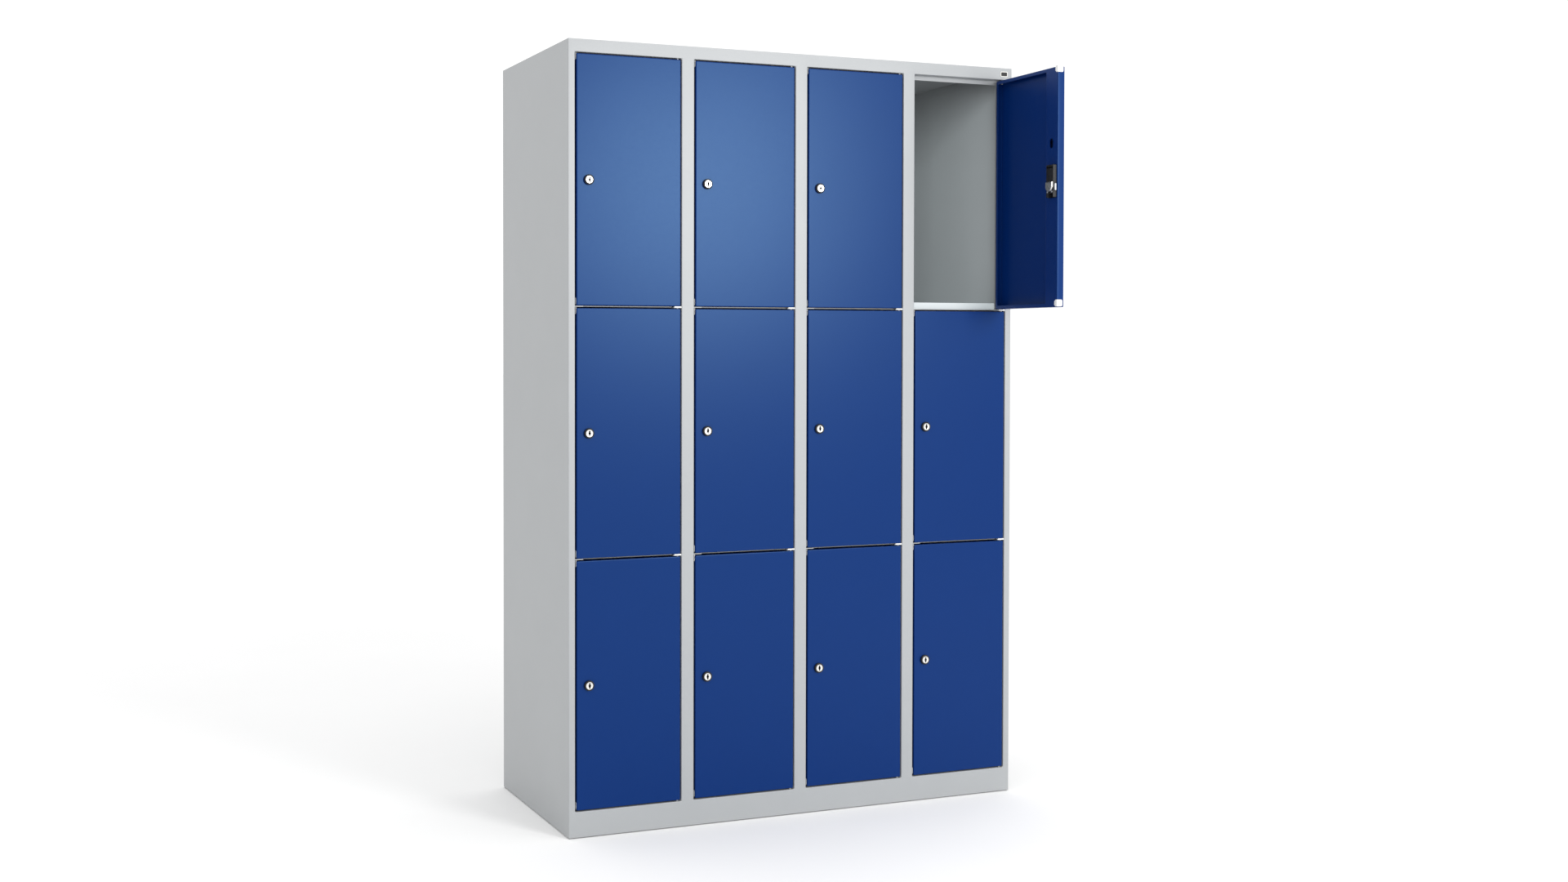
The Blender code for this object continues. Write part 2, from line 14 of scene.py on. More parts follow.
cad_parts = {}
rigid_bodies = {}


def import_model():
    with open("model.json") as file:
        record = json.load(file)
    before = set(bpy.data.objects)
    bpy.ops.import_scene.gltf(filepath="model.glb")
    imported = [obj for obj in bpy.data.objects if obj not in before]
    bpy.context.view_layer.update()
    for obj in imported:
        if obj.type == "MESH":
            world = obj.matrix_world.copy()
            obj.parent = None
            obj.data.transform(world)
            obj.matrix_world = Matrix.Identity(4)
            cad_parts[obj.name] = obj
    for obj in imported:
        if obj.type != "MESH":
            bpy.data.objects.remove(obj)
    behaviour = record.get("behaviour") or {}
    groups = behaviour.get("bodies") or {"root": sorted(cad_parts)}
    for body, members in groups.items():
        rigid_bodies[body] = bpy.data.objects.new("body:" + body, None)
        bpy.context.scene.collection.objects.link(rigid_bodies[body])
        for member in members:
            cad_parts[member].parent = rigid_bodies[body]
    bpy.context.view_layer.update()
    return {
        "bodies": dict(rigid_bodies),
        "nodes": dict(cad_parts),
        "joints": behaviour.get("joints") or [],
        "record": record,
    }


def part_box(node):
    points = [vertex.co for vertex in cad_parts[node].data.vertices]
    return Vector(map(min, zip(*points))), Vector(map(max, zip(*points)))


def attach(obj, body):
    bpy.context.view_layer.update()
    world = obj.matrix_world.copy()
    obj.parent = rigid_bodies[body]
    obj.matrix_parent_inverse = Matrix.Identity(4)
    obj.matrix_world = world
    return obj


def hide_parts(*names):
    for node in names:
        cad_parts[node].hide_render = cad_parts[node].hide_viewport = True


# Camera and light.
CAMERA_LOCATION = (-1.9117, -3.7957, 1.1435)
CAMERA_PITCH = math.radians(88.797)
CAMERA_YAW = math.radians(-21.25)
CAMERA_LENS = 38.851
CAMERA_SHIFT = (0.1075, -0.038)
FLOOR_HALF = 60.0
SKY_STRENGTH = 1.12
INNER_PANELS = [
    "partition_3",
    "side_panel_right",
    "rear_panel",
    "top_panel",
    "shelf_tier_upper",
]
FILL_COLOUR = (0.92, 1.0, 1.0)
FRONT_BOX = {
    "location": (1.49, -4.2, 1.96),
    "target": (-0.3, 0.0, 1.5),
    "size": 1.2,
    "radiance": 22.0,
}
FILL_BOX = {
    "location": (-1.2, -3.6, 2.3),
    "target": (0.5, 0.0, 1.4),
    "size": 2.0,
    "radiance": 15.0,
}

# Sheet metal. The outer sizes are the CAD model's; bend radii and lock-side tabs are only here.
SHEET = 0.001
BEND_RADIUS = 0.0022
BEND_STEPS = 2
EDGE_BREAK = 0.00022
SLIVER = 0.000004
SAME_PLACE = 1e-6
CAD_MERGE = 0.00001
WELD = 0.0005
DOOR_GAP = 0.003
RETURN_DEPTH = 0.022
LOCK_LIP = 0.012
SHELF_LIP_DEPTH = 0.010
SHELF_LIP_RISE = 0.0003
SHELF_LIP_TOP = 0.0024
HINGE_LIP = 0.018
TOP_LIP = 0.011
TAB_WIDTH = 0.020
TAB_THICKNESS = 0.002
TAB_FRONT = 0.0015
DOOR_LIP = 0.009
STIFFENER_WIDTH = 0.050
STIFFENER_GAP = 0.0006

# Pivot pins.
PIVOT_SETBACK = 0.006
PIN_RADIUS = 0.0025
PIN_LENGTH = 0.011
PIN_HOLE = 0.0029

# Lock, measured from the door's lock edge, back from its front face and up from the key plug.
# An edge's points are steps in from its radius, or out from the hole's, and back from the front.
# The dish's points are shares of the plug's radius and steps back from its front; the screw
# head's are shares of its radius and height.
PLUG_FROM_EDGE = 0.0305
PLUG_RADIUS = 0.009
PLUG_PLAY = 0.0003
PLUG_FRONT = -0.0066
PLUG_REAR = 0.016
PLUG_DISH = ((0.0, 0.0003), (0.55, 0.0002))
PLUG_EDGE = ((0.0016, 0.0), (0.0008, 0.0), (0.0002, 0.0005), (0.0, 0.0012))
BEZEL_RADIUS = 0.012
BEZEL_FRONT = -0.006
BEZEL_INNER_EDGE = ((0.0, 0.0012), (0.0005, 0.0002), (0.0009, 0.0))
BEZEL_OUTER_EDGE = ((0.0013, 0.0), (0.0004, 0.0005), (0.0, 0.0015))
BARREL_RADIUS = 0.011
CASE_LEFT = 0.0055
CASE_RIGHT = 0.034
CASE_BOTTOM = -0.025
CASE_TOP = 0.054
CASE_REAR = 0.029
CASE_ROUNDING = 0.0014
NOTCH_LEFT = 0.008
NOTCH_RIGHT = 0.026
NOTCH_HEIGHT = 0.010
COIN_SLOT_WIDTH = 0.0255
COIN_SLOT_HEIGHT = 0.0026
COIN_SLOT_RISE = 0.046
COIN_SLOT_DEPTH = 0.008
COIN_RIM = 0.0012
COVER_MARGIN = 0.003
COVER_BOTTOM = 0.0165
COVER_DEPTH = 0.0005
CUP_RADIUS = 0.013
CUP_RISE = 0.002
CUP_TOP = 0.0126
CUP_REAR = 0.033
CUP_WALL = 0.0013
CUP_ROUNDING = 0.0022
BOLT_FRONT = 0.0226
BOLT_THICKNESS = 0.0045
BOLT_HEIGHT = 0.017
BOLT_LENGTH = 0.024
BOLT_PLAY = 0.0004
HOLE_RISE = 0.107
HOLE_FROM_EDGE = 0.027
HOLE_RADIUS = 0.007
HOLE_STRETCH = 0.010
KEYHOLE_RADIUS = 0.0031
KEYHOLE_WIDTH = 0.0036
KEYHOLE_HEIGHT = 0.0124
KEYHOLE_DEPTH = 0.008
SCREW_RADIUS = 0.0027
SCREW_HEIGHT = 0.0012
SCREW_SLOT = 0.0009
SCREW_HEAD = ((0.0, 1.0), (0.55, 0.93), (0.88, 0.62), (1.0, 0.15))

# White plastic: corner buffers on the doors and bushes on the pivot tabs.
BUFFER_HEIGHT = 0.0165
BUFFER_REAR_WIDTH = 0.0105
BUFFER_EDGE_DEPTH = 0.0145
BUFFER_WALL = 0.0016
BUFFER_PROUD = 0.0009
BUFFER_CHAMFER = 0.0042
BUFFER_ABOVE = 0.0025
BUFFER_INSIDE = 0.0018
BUFFER_ROUNDING = 0.0005
BUSH_WIDTH = 0.018
BUSH_TOP = 0.0026
BUSH_CONE_RADIUS = 0.0042
BUSH_CONE_DEPTH = 0.0046

# Blank plate in the top corner of the front.
PLATE_WIDTH = 0.021
PLATE_HEIGHT = 0.013
PLATE_RIM = 0.0016
PLATE_ROUNDING = 0.22
PLATE_FROM_RIGHT = 0.023
PLATE_FROM_TOP = 0.0155
PLATE_THICKNESS = 0.0008

# Rubber pads under the feet. The rim's points are shares of the pad's radius and height.
PAD_RADIUS = 0.0156
PAD_HEIGHT = 0.0062
PAD_INNER_RADIUS = 0.0056
PAD_HOLLOW = 0.6
PAD_RIM = (
    (0.93, 0.0),
    (1.0, 0.15),
    (1.0, 0.45),
    (0.965, 0.55),
    (1.0, 0.65),
    (1.0, 0.85),
    (0.95, 1.0),
)

# Colours in linear light, as one colour or as the two ends of a slight variation, and finishes.
GREY_COLOUR = (0.345, 0.358, 0.367)
GREY_ROUGHNESS = 0.42
GREY_MOTTLE = 0.012
BLUE_COLOUR = (0.0007, 0.0185, 0.124)
BLUE_ROUGHNESS = 0.31
BLUE_MOTTLE = 0.015
BLUE_SPECULAR = 0.30
BLUE_SPECULAR_TINT = (0.38, 0.69, 1.0, 1.0)
GLOSS_SPREAD = 0.02
PEEL_STRENGTH = 0.30
GRAIN_STRENGTH = 0.10
PEEL_DEPTH = 0.00006
BLACK_COLOURS = ((0.008, 0.008, 0.009), (0.014, 0.014, 0.015))
BLACK_ROUGHNESS = (0.34, 0.50)
BLACK_SPECULAR = 0.35
WHITE_COLOURS = ((0.78, 0.78, 0.76), (0.84, 0.84, 0.82))
WHITE_ROUGHNESS = (0.36, 0.48)
WHITE_SUBSURFACE = 0.12
WHITE_SUBSURFACE_RADIUS = (0.004, 0.004, 0.004)
RUBBER_COLOURS = ((0.018, 0.018, 0.018), (0.034, 0.033, 0.032))
RUBBER_ROUGHNESS = (0.62, 0.80)
NICKEL_COLOURS = ((0.66, 0.65, 0.62), (0.76, 0.75, 0.72))
NICKEL_ROUGHNESS = (0.20, 0.32)
ZINC_COLOURS = ((0.50, 0.51, 0.52), (0.62, 0.63, 0.64))
ZINC_ROUGHNESS = (0.28, 0.44)
FLOOR_COLOURS = ((0.90, 0.90, 0.90), (0.92, 0.92, 0.92))
FLOOR_ROUGHNESS = (0.75, 0.9)
FLOOR_SPECULAR = 0.1

ROUND_SIDES = 64
PIN_SIDES = 24
SMOOTH_ANGLE = math.radians(32)

GREY_SLOT = "light_grey_powder_coat"
BLUE_SLOT = "blue_powder_coat"
BLACK_SLOT = "black_lock_plastic"
NICKEL_SLOT = "nickel_plated_zinc"
ZINC_SLOT = "zinc_plated_steel"
WHITE_SLOT = "white_bumper_plastic"


# Procedural materials


def add_node(tree, kind, inputs=None, **settings):
    node = tree.nodes.new(kind)
    for name, value in settings.items():
        setattr(node, name, value)
    for name, value in (inputs or {}).items():
        node.inputs[name].default_value = value
    return node


def new_material(name):
    material = bpy.data.materials.new(name)
    material.use_nodes = True
    tree = material.node_tree
    return material, tree, tree.nodes["Principled BSDF"]


def noise(tree, scale, detail=2.0):
    """Noise over the object's own coordinates, with this many features per metre."""
    place = add_node(tree, "ShaderNodeTexCoord")
    made = add_node(tree, "ShaderNodeTexNoise", {"Scale": scale, "Detail": detail})
    tree.links.new(place.outputs["Object"], made.inputs["Vector"])
    return made.outputs["Fac"]


def colour_between(tree, shader, value, first, second, low=0.3, high=0.7):
    """Drives the base colour between two colours as the value goes from low to high."""
    ramp = add_node(tree, "ShaderNodeValToRGB")
    start, end = ramp.color_ramp.elements
    start.position = low
    end.position = high
    start.color = (*first, 1.0)
    end.color = (*second, 1.0)
    tree.links.new(value, ramp.inputs["Fac"])
    tree.links.new(ramp.outputs["Color"], shader.inputs["Base Color"])


def roughness_between(tree, shader, value, low, high):
    span = add_node(tree, "ShaderNodeMapRange", {"To Min": low, "To Max": high})
    tree.links.new(value, span.inputs["Value"])
    tree.links.new(span.outputs["Result"], shader.inputs["Roughness"])


def bump(tree, shader, heights, depth):
    """A chain of bumps, each with its height value and its strength."""
    last = None
    for value, strength in heights:
        made = add_node(tree, "ShaderNodeBump", {"Strength": strength, "Distance": depth})
        tree.links.new(value, made.inputs["Height"])
        if last:
            tree.links.new(last, made.inputs["Normal"])
        last = made.outputs["Normal"]
    tree.links.new(last, shader.inputs["Normal"])


def scaled(colour, factor):
    return tuple(channel * factor for channel in colour)


def powder_coat(name, colour, roughness, spread):
    """Baked powder paint: a fine orange peel, slow gloss changes and a slight mottle."""
    material, tree, shader = new_material(name)
    mottle = noise(tree, scale=9.0, detail=4.0)
    colour_between(tree, shader, mottle, scaled(colour, 1.0 - spread), scaled(colour, 1.0 + spread))
    gloss = noise(tree, scale=260.0, detail=3.0)
    roughness_between(tree, shader, gloss, roughness - GLOSS_SPREAD, roughness + GLOSS_SPREAD)
    peel = noise(tree, scale=420.0, detail=1.0)
    grain = noise(tree, scale=1600.0, detail=2.0)
    bump(tree, shader, [(peel, PEEL_STRENGTH), (grain, GRAIN_STRENGTH)], PEEL_DEPTH)
    return material, shader


def grey_paint():
    material, _ = powder_coat(GREY_SLOT, GREY_COLOUR, GREY_ROUGHNESS, GREY_MOTTLE)
    return material


def blue_paint():
    material, shader = powder_coat(BLUE_SLOT, BLUE_COLOUR, BLUE_ROUGHNESS, BLUE_MOTTLE)
    shader.inputs["Specular IOR Level"].default_value = BLUE_SPECULAR
    shader.inputs["Specular Tint"].default_value = BLUE_SPECULAR_TINT
    return material


def black_plastic():
    material, tree, shader = new_material(BLACK_SLOT)
    colour_between(tree, shader, noise(tree, scale=220.0, detail=3.0), *BLACK_COLOURS)
    roughness_between(tree, shader, noise(tree, scale=900.0, detail=2.0), *BLACK_ROUGHNESS)
    bump(tree, shader, [(noise(tree, scale=3200.0, detail=2.0), 0.25)], depth=0.00004)
    shader.inputs["Specular IOR Level"].default_value = BLACK_SPECULAR
    return material


def white_plastic():
    material, tree, shader = new_material(WHITE_SLOT)
    colour_between(tree, shader, noise(tree, scale=130.0, detail=3.0), *WHITE_COLOURS)
    roughness_between(tree, shader, noise(tree, scale=700.0, detail=2.0), *WHITE_ROUGHNESS)
    bump(tree, shader, [(noise(tree, scale=2400.0, detail=2.0), 0.20)], depth=0.00003)
    shader.inputs["Subsurface Weight"].default_value = WHITE_SUBSURFACE
    shader.inputs["Subsurface Radius"].default_value = WHITE_SUBSURFACE_RADIUS
    return material


def rubber():
    material, tree, shader = new_material("foot_rubber")
    colour_between(tree, shader, noise(tree, scale=260.0, detail=4.0), *RUBBER_COLOURS)
    roughness_between(tree, shader, noise(tree, scale=500.0, detail=2.0), *RUBBER_ROUGHNESS)
    bump(tree, shader, [(noise(tree, scale=1500.0, detail=3.0), 0.35)], depth=0.00008)
    return material


def turned_nickel():
    """Polished nickel with faint rings about the piece's own y axis."""
    material, tree, shader = new_material(NICKEL_SLOT)
    shader.inputs["Metallic"].default_value = 1.0
    place = add_node(tree, "ShaderNodeTexCoord")
    rings = add_node(
        tree,
        "ShaderNodeTexWave",
        {"Scale": 900.0, "Distortion": 1.5, "Detail": 2.0},
        wave_type="RINGS",
        rings_direction="Y",
    )
    tree.links.new(place.outputs["Object"], rings.inputs["Vector"])
    colour_between(tree, shader, noise(tree, scale=300.0, detail=3.0), *NICKEL_COLOURS)
    roughness_between(tree, shader, rings.outputs["Fac"], *NICKEL_ROUGHNESS)
    bump(tree, shader, [(rings.outputs["Fac"], 0.12)], depth=0.00001)
    return material


def zinc_plate():
    """Zinc plating with its faint crystal pattern and drawing lines."""
    material, tree, shader = new_material(ZINC_SLOT)
    shader.inputs["Metallic"].default_value = 1.0
    place = add_node(tree, "ShaderNodeTexCoord")
    crystals = add_node(tree, "ShaderNodeTexVoronoi", {"Scale": 240.0})
    tree.links.new(place.outputs["Object"], crystals.inputs["Vector"])
    colour_between(tree, shader, crystals.outputs["Distance"], *ZINC_COLOURS, low=0.0, high=1.0)
    roughness_between(tree, shader, noise(tree, scale=350.0, detail=3.0), *ZINC_ROUGHNESS)
    bump(tree, shader, [(noise(tree, scale=1100.0, detail=2.0), 0.15)], depth=0.00003)
    return material


def make_materials():
    return {
        GREY_SLOT: grey_paint(),
        BLUE_SLOT: blue_paint(),
        BLACK_SLOT: black_plastic(),
        NICKEL_SLOT: turned_nickel(),
        ZINC_SLOT: zinc_plate(),
        WHITE_SLOT: white_plastic(),
    }


# Mesh tools


def box(low, high):
    low = Vector(low)
    high = Vector(high)
    bm = bmesh.new()
    bmesh.ops.create_cube(bm, size=1.0)
    bmesh.ops.scale(bm, vec=high - low, verts=bm.verts)
    bmesh.ops.translate(bm, vec=(high + low) / 2, verts=bm.verts)
    return bm


def rod(radius, start, end, sides=PIN_SIDES, end_radius=None):
    """A closed cylinder or cone between two points."""
    start = Vector(start)
    end = Vector(end)
    axis = end - start
    far_radius = radius if end_radius is None else end_radius
    bm = bmesh.new()
    bmesh.ops.create_cone(
        bm, cap_ends=True, segments=sides, radius1=radius, radius2=far_radius, depth=axis.length
    )
    bmesh.ops.rotate(bm, matrix=axis.to_track_quat("Z", "Y").to_matrix(), verts=bm.verts)
    bmesh.ops.translate(bm, vec=(start + end) / 2, verts=bm.verts)
    return bm


def turned(profile, centre, axis, closed=False, sides=ROUND_SIDES):
    """A profile of radius and travel pairs spun about an axis through the centre."""
    centre = Vector(centre)
    axis = Vector(axis)
    outward = Vector((1.0, 0.0, 0.0))
    bm = bmesh.new()
    verts = [bm.verts.new(centre + outward * radius + axis * travel) for radius, travel in profile]
    edges = [bm.edges.new(pair) for pair in zip(verts, verts[1:])]
    if closed:
        edges.append(bm.edges.new((verts[-1], verts[0])))
    bmesh.ops.spin(bm, geom=verts + edges, cent=centre, axis=axis, angle=math.tau, steps=sides)
    bmesh.ops.remove_doubles(bm, verts=bm.verts, dist=SAME_PLACE)
    bmesh.ops.recalc_face_normals(bm, faces=bm.faces)
    return bm


def prism(outline, travel):
    """A closed outline of points, extruded along a vector."""
    bm = bmesh.new()
    face = bm.faces.new([bm.verts.new(point) for point in outline])
    made = bmesh.ops.extrude_face_region(bm, geom=[face])
    verts = [item for item in made["geom"] if isinstance(item, bmesh.types.BMVert)]
    bmesh.ops.translate(bm, vec=travel, verts=verts)
    bmesh.ops.recalc_face_normals(bm, faces=bm.faces)
    return bm


def round_edges(bm, radius, steps, edges=None):
    """Rounds the given edges, or every edge where the surface turns."""
    turning = edges
    if turning is None:
        turning = [
            edge
            for edge in bm.edges
            if edge.is_manifold and edge.calc_face_angle() > SMOOTH_ANGLE
        ]
    bmesh.ops.bevel(
        bm,
        geom=turning,
        offset=radius,
        segments=steps,
        profile=0.5,
        affect="EDGES",
        clamp_overlap=True,
    )
    return bm


def helper_object(bm):
    mesh = bpy.data.meshes.new("draft")
    bm.to_mesh(mesh)
    bm.free()
    obj = bpy.data.objects.new("draft", mesh)
    bpy.context.scene.collection.objects.link(obj)
    return obj


def combine(draft, shapes, operation):
    """Joins the shapes to the draft or cuts them from it, at once."""
    home = bpy.data.collections.new("helpers")
    bpy.context.scene.collection.children.link(home)
    for shape in shapes:
        helper = helper_object(shape)
        bpy.context.scene.collection.objects.unlink(helper)
        home.objects.link(helper)
    boolean = draft.modifiers.new(operation.lower(), "BOOLEAN")
    boolean.operation = operation
    boolean.solver = "EXACT"
    boolean.operand_type = "COLLECTION"
    boolean.collection = home
    apply_all(draft)
    for helper in list(home.objects):
        bpy.data.objects.remove(helper, do_unlink=True)
    bpy.data.collections.remove(home)


def apply_all(obj):
    bpy.context.view_layer.update()
    graph = bpy.context.evaluated_depsgraph_get()
    mesh = bpy.data.meshes.new_from_object(obj.evaluated_get(graph))
    obj.modifiers.clear()
    obj.data = mesh


def thicken(obj, thickness=SHEET):
    """Gives an open surface the sheet's thickness, behind its outer side, with broken edges."""
    sheet = obj.modifiers.new("sheet", "SOLIDIFY")
    sheet.thickness = thickness
    sheet.offset = -1.0
    sheet.use_even_offset = True
    edge = obj.modifiers.new("edge", "BEVEL")
    edge.width = EDGE_BREAK
    edge.segments = 1
    edge.limit_method = "ANGLE"
    edge.angle_limit = math.radians(60)
    apply_all(obj)


def drop_slivers(mesh):
    """Closes the edges and faces of no size that joins and cuts leave behind."""
    bm = bmesh.new()
    bm.from_mesh(mesh)
    bmesh.ops.remove_doubles(bm, verts=bm.verts, dist=SLIVER)
    bmesh.ops.dissolve_degenerate(bm, dist=SLIVER, edges=bm.edges)
    bm.to_mesh(mesh)
    bm.free()


def finished_mesh(draft, name):
    """Takes the draft's mesh out as the piece's own, shaded smooth between its sharp edges."""
    mesh = draft.data
    bpy.data.objects.remove(draft, do_unlink=True)
    mesh.name = name
    drop_slivers(mesh)
    mesh.shade_smooth()
    mesh.set_sharp_from_angle(angle=SMOOTH_ANGLE)
    return mesh


def solid_mesh(name, bm, joins=(), cuts=(), sheet=False):
    draft = helper_object(bm)
    if sheet:
        thicken(draft)
    if joins:
        combine(draft, joins, "UNION")
    if cuts:
        combine(draft, cuts, "DIFFERENCE")
    return finished_mesh(draft, name)


def merged(shapes):
    """Several closed shapes in one mesh, as separate islands."""
    bm = bmesh.new()
    for shape in shapes:
        mesh = bpy.data.meshes.new("part")
        shape.to_mesh(mesh)
        shape.free()
        bm.from_mesh(mesh)
        bpy.data.meshes.remove(mesh)
    return bm


def even_shading(obj):
    """Keeps flat faces flat beside their rounded edges."""
    weighted = obj.modifiers.new("flat_faces", "WEIGHTED_NORMAL")
    weighted.keep_sharp = True


def add_piece(name, mesh, body, slot, materials, replaced=None, matrix=None):
    """One visible piece that rides on a body and may stand for a CAD node."""
    obj = bpy.data.objects.new(name, mesh)
    bpy.context.scene.collection.objects.link(obj)
    if matrix is not None:
        obj.matrix_world = matrix
    if not mesh.materials:
        mesh.materials.append(materials[slot])
    even_shading(obj)
    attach(obj, body)
    if replaced:
        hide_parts(replaced)
    return obj


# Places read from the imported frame


def joint_of(frame, name):
    return next(joint for joint in frame["joints"] if joint["name"] == name)


def door_labels(frame):
    prefix = "door_hinge_"
    return [j["name"].removeprefix(prefix) for j in frame["joints"] if j["name"].startswith(prefix)]


def door_matrix(frame, label):
    """The door's own frame at rest: its origin is on the pivot, at the door's lower edge."""
    joint = joint_of(frame, f"door_hinge_{label}")
    turn = Matrix.Rotation(math.radians(-joint["range_deg"][0]), 4, "Z")
    return Matrix.Translation(joint["pos_m"]) @ turn


def closed_label(column):
    return f"r3c{column}"


def column_count(frame):
    return sum(1 for label in door_labels(frame) if label.startswith("r3"))


def opening_sides(column):
    low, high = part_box(f"door_{closed_label(column)}")
    return low.x - DOOR_GAP, high.x + DOOR_GAP


def gap_heights(frame):
    """The middles of the gaps between the rows of doors."""
    rows = sorted({round(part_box(f"door_{label}")[0].z, 5) for label in door_labels(frame)})
    return [low - DOOR_GAP for low in rows[1:]]


class Door:
    """The outline of every door, in the door's own frame."""

    def __init__(self, frame):
        label = closed_label(1)
        pivot = Vector(joint_of(frame, f"door_hinge_{label}")["pos_m"])
        low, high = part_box(f"door_{label}")
        self.low = low - pivot
        self.high = high - pivot
        self.lock_height = (self.low.z + self.high.z) / 2

    def lock_point(self, from_edge, back, rise):
        return Vector((self.low.x + from_edge, self.low.y + back, self.lock_height + rise))

    def lock_box(self, from_edge, back, rise):
        low = self.lock_point(from_edge[0], back[0], rise[0])
        high = self.lock_point(from_edge[1], back[1], rise[1])
        return box(low, high)

    def lock_rod(self, radius, from_edge, back, rise=0.0):
        start = self.lock_point(from_edge, back[0], rise)
        end = self.lock_point(from_edge, back[1], rise)
        return rod(radius, start, end, ROUND_SIDES)


# Front frame


def frame_surface(frame):
    """The frame's face with its tall openings, folded back around each with a bend radius."""
    low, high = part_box("front_frame")
    columns = column_count(frame)
    across = [low.x]
    for column in range(1, columns + 1):
        across += opening_sides(column)
    across.append(high.x)
    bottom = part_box(f"door_{closed_label(1)}")[0].z - DOOR_GAP
    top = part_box("door_r1c1")[1].z + DOOR_GAP
    upward = [low.z, bottom, top, high.z]
    bm = bmesh.new()
    steps_x = len(across) - 1
    steps_z = len(upward) - 1
    bmesh.ops.create_grid(bm, x_segments=steps_x, y_segments=steps_z, size=0.5)
    for vert in bm.verts:
        step_x = round((vert.co.x + 0.5) * steps_x)
        step_z = round((vert.co.y + 0.5) * steps_z)
        vert.co = Vector((across[step_x], low.y, upward[step_z]))
    holes = [face for face in bm.faces if is_hole(face.calc_center_median(), across, bottom, top)]
    bmesh.ops.delete(bm, geom=holes, context="FACES_ONLY")
    rims = [edge for edge in bm.edges if edge.is_boundary and is_inner(edge, across, upward)]
    made = bmesh.ops.extrude_edge_only(bm, edges=rims)
    verts = [item for item in made["geom"] if isinstance(item, bmesh.types.BMVert)]
    bmesh.ops.translate(bm, vec=(0.0, RETURN_DEPTH, 0.0), verts=verts)
    look_front(bm)
    return round_edges(bm, BEND_RADIUS, BEND_STEPS)


def is_hole(point, across, bottom, top):
    if not bottom < point.z < top:
        return False
    return any(left < point.x < right for left, right in zip(across[1::2], across[2::2]))


def is_inner(edge, across, upward):
    middle = (edge.verts[0].co + edge.verts[1].co) / 2
    inside_width = (across[0] + across[1]) / 2 < middle.x < (across[-1] + across[-2]) / 2
    inside_height = (upward[0] + upward[1]) / 2 < middle.z < (upward[-1] + upward[-2]) / 2
    return inside_width and inside_height


def look_front(bm):
    bmesh.ops.recalc_face_normals(bm, faces=bm.faces)
    foremost = min(bm.faces, key=lambda face: face.calc_center_median().y)
    if foremost.normal.y > 0:
        bmesh.ops.reverse_faces(bm, faces=bm.faces)


def frame_lips(column, front, bottom, top):
    left, right = opening_sides(column)
    near = front + RETURN_DEPTH - SHEET
    far = front + RETURN_DEPTH
    return [
        box((left - LOCK_LIP, near, bottom), (left - WELD, far, top)),
        box((right - HINGE_LIP, near, bottom - WELD), (right + WELD, far, top + WELD)),
        box((left - WELD, near, top - TOP_LIP), (right - WELD, far, top + WELD)),
        box((left, near, bottom - LOCK_LIP), (right - WELD, far, bottom - WELD)),
    ]


def frame_pins(frame, column, front, bottom, top):
    """The pivot pins, and in each gap the plain tab at the lock side and the lip of the shelf."""
    x = joint_of(frame, f"door_hinge_{closed_label(column)}")["pos_m"][0]
    y = front + PIVOT_SETBACK
    left, right = opening_sides(column)
    shapes = [
        rod(PIN_RADIUS, (x, y, top - PIN_LENGTH), (x, y, top + WELD)),
        rod(PIN_RADIUS, (x, y, bottom - WELD), (x, y, bottom + PIN_LENGTH)),
    ]
    for height in gap_heights(frame):
        half = TAB_THICKNESS / 2
        far = front + RETURN_DEPTH - WELD
        low = (right - TAB_WIDTH, front + TAB_FRONT, height - half)
        shapes.append(box(low, (right + WELD, far, height + half)))
        shapes.append(rod(PIN_RADIUS, (x, y, height - PIN_LENGTH), (x, y, height + PIN_LENGTH)))
        low = (left - WELD, front + TAB_FRONT, height)
        shapes.append(box(low, (left + TAB_WIDTH, far, height + TAB_THICKNESS)))
        near = front + SHELF_LIP_DEPTH
        low = (left + TAB_WIDTH - WELD, near, height + SHELF_LIP_RISE)
        high = (right - TAB_WIDTH + WELD, near + SHEET, height + SHELF_LIP_TOP)
        shapes.append(box(low, high))
    return shapes


def add_front_frame(frame, materials):
    low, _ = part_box("front_frame")
    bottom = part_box(f"door_{closed_label(1)}")[0].z - DOOR_GAP
    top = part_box("door_r1c1")[1].z + DOOR_GAP
    welded = []
    for column in range(1, column_count(frame) + 1):
        welded += frame_lips(column, low.y, bottom, top)
        welded += frame_pins(frame, column, low.y, bottom, top)
    mesh = solid_mesh("front_frame_formed", frame_surface(frame), joins=welded, sheet=True)
    add_piece("front_frame_formed", mesh, "carcass", GREY_SLOT, materials, "front_frame")


def add_bushes(frame, materials):
    """White plastic bushes: a flat top over each pivot tab with a cone below it."""
    low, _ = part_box("front_frame")
    shapes = []
    for column in range(1, column_count(frame) + 1):
        x = joint_of(frame, f"door_hinge_{closed_label(column)}")["pos_m"][0]
        y = low.y + PIVOT_SETBACK
        right = opening_sides(column)[1]
        for height in gap_heights(frame):
            under = height + TAB_THICKNESS / 2
            start = (right - BUSH_WIDTH, low.y + TAB_FRONT / 2, height - TAB_THICKNESS / 4)
            plate = box(start, (right - WELD, low.y + RETURN_DEPTH - 2 * SHEET, height + BUSH_TOP))
            shapes.append(round_edges(plate, EDGE_BREAK, 2))
            cone_end = (x, y, under - BUSH_CONE_DEPTH)
            shapes.append(rod(BUSH_CONE_RADIUS, (x, y, under), cone_end, PIN_SIDES, PIN_RADIUS / 3))
    mesh = finished_mesh(helper_object(merged(shapes)), "pivot_bushes")
    add_piece("pivot_bushes", mesh, "carcass", WHITE_SLOT, materials)


# Doors


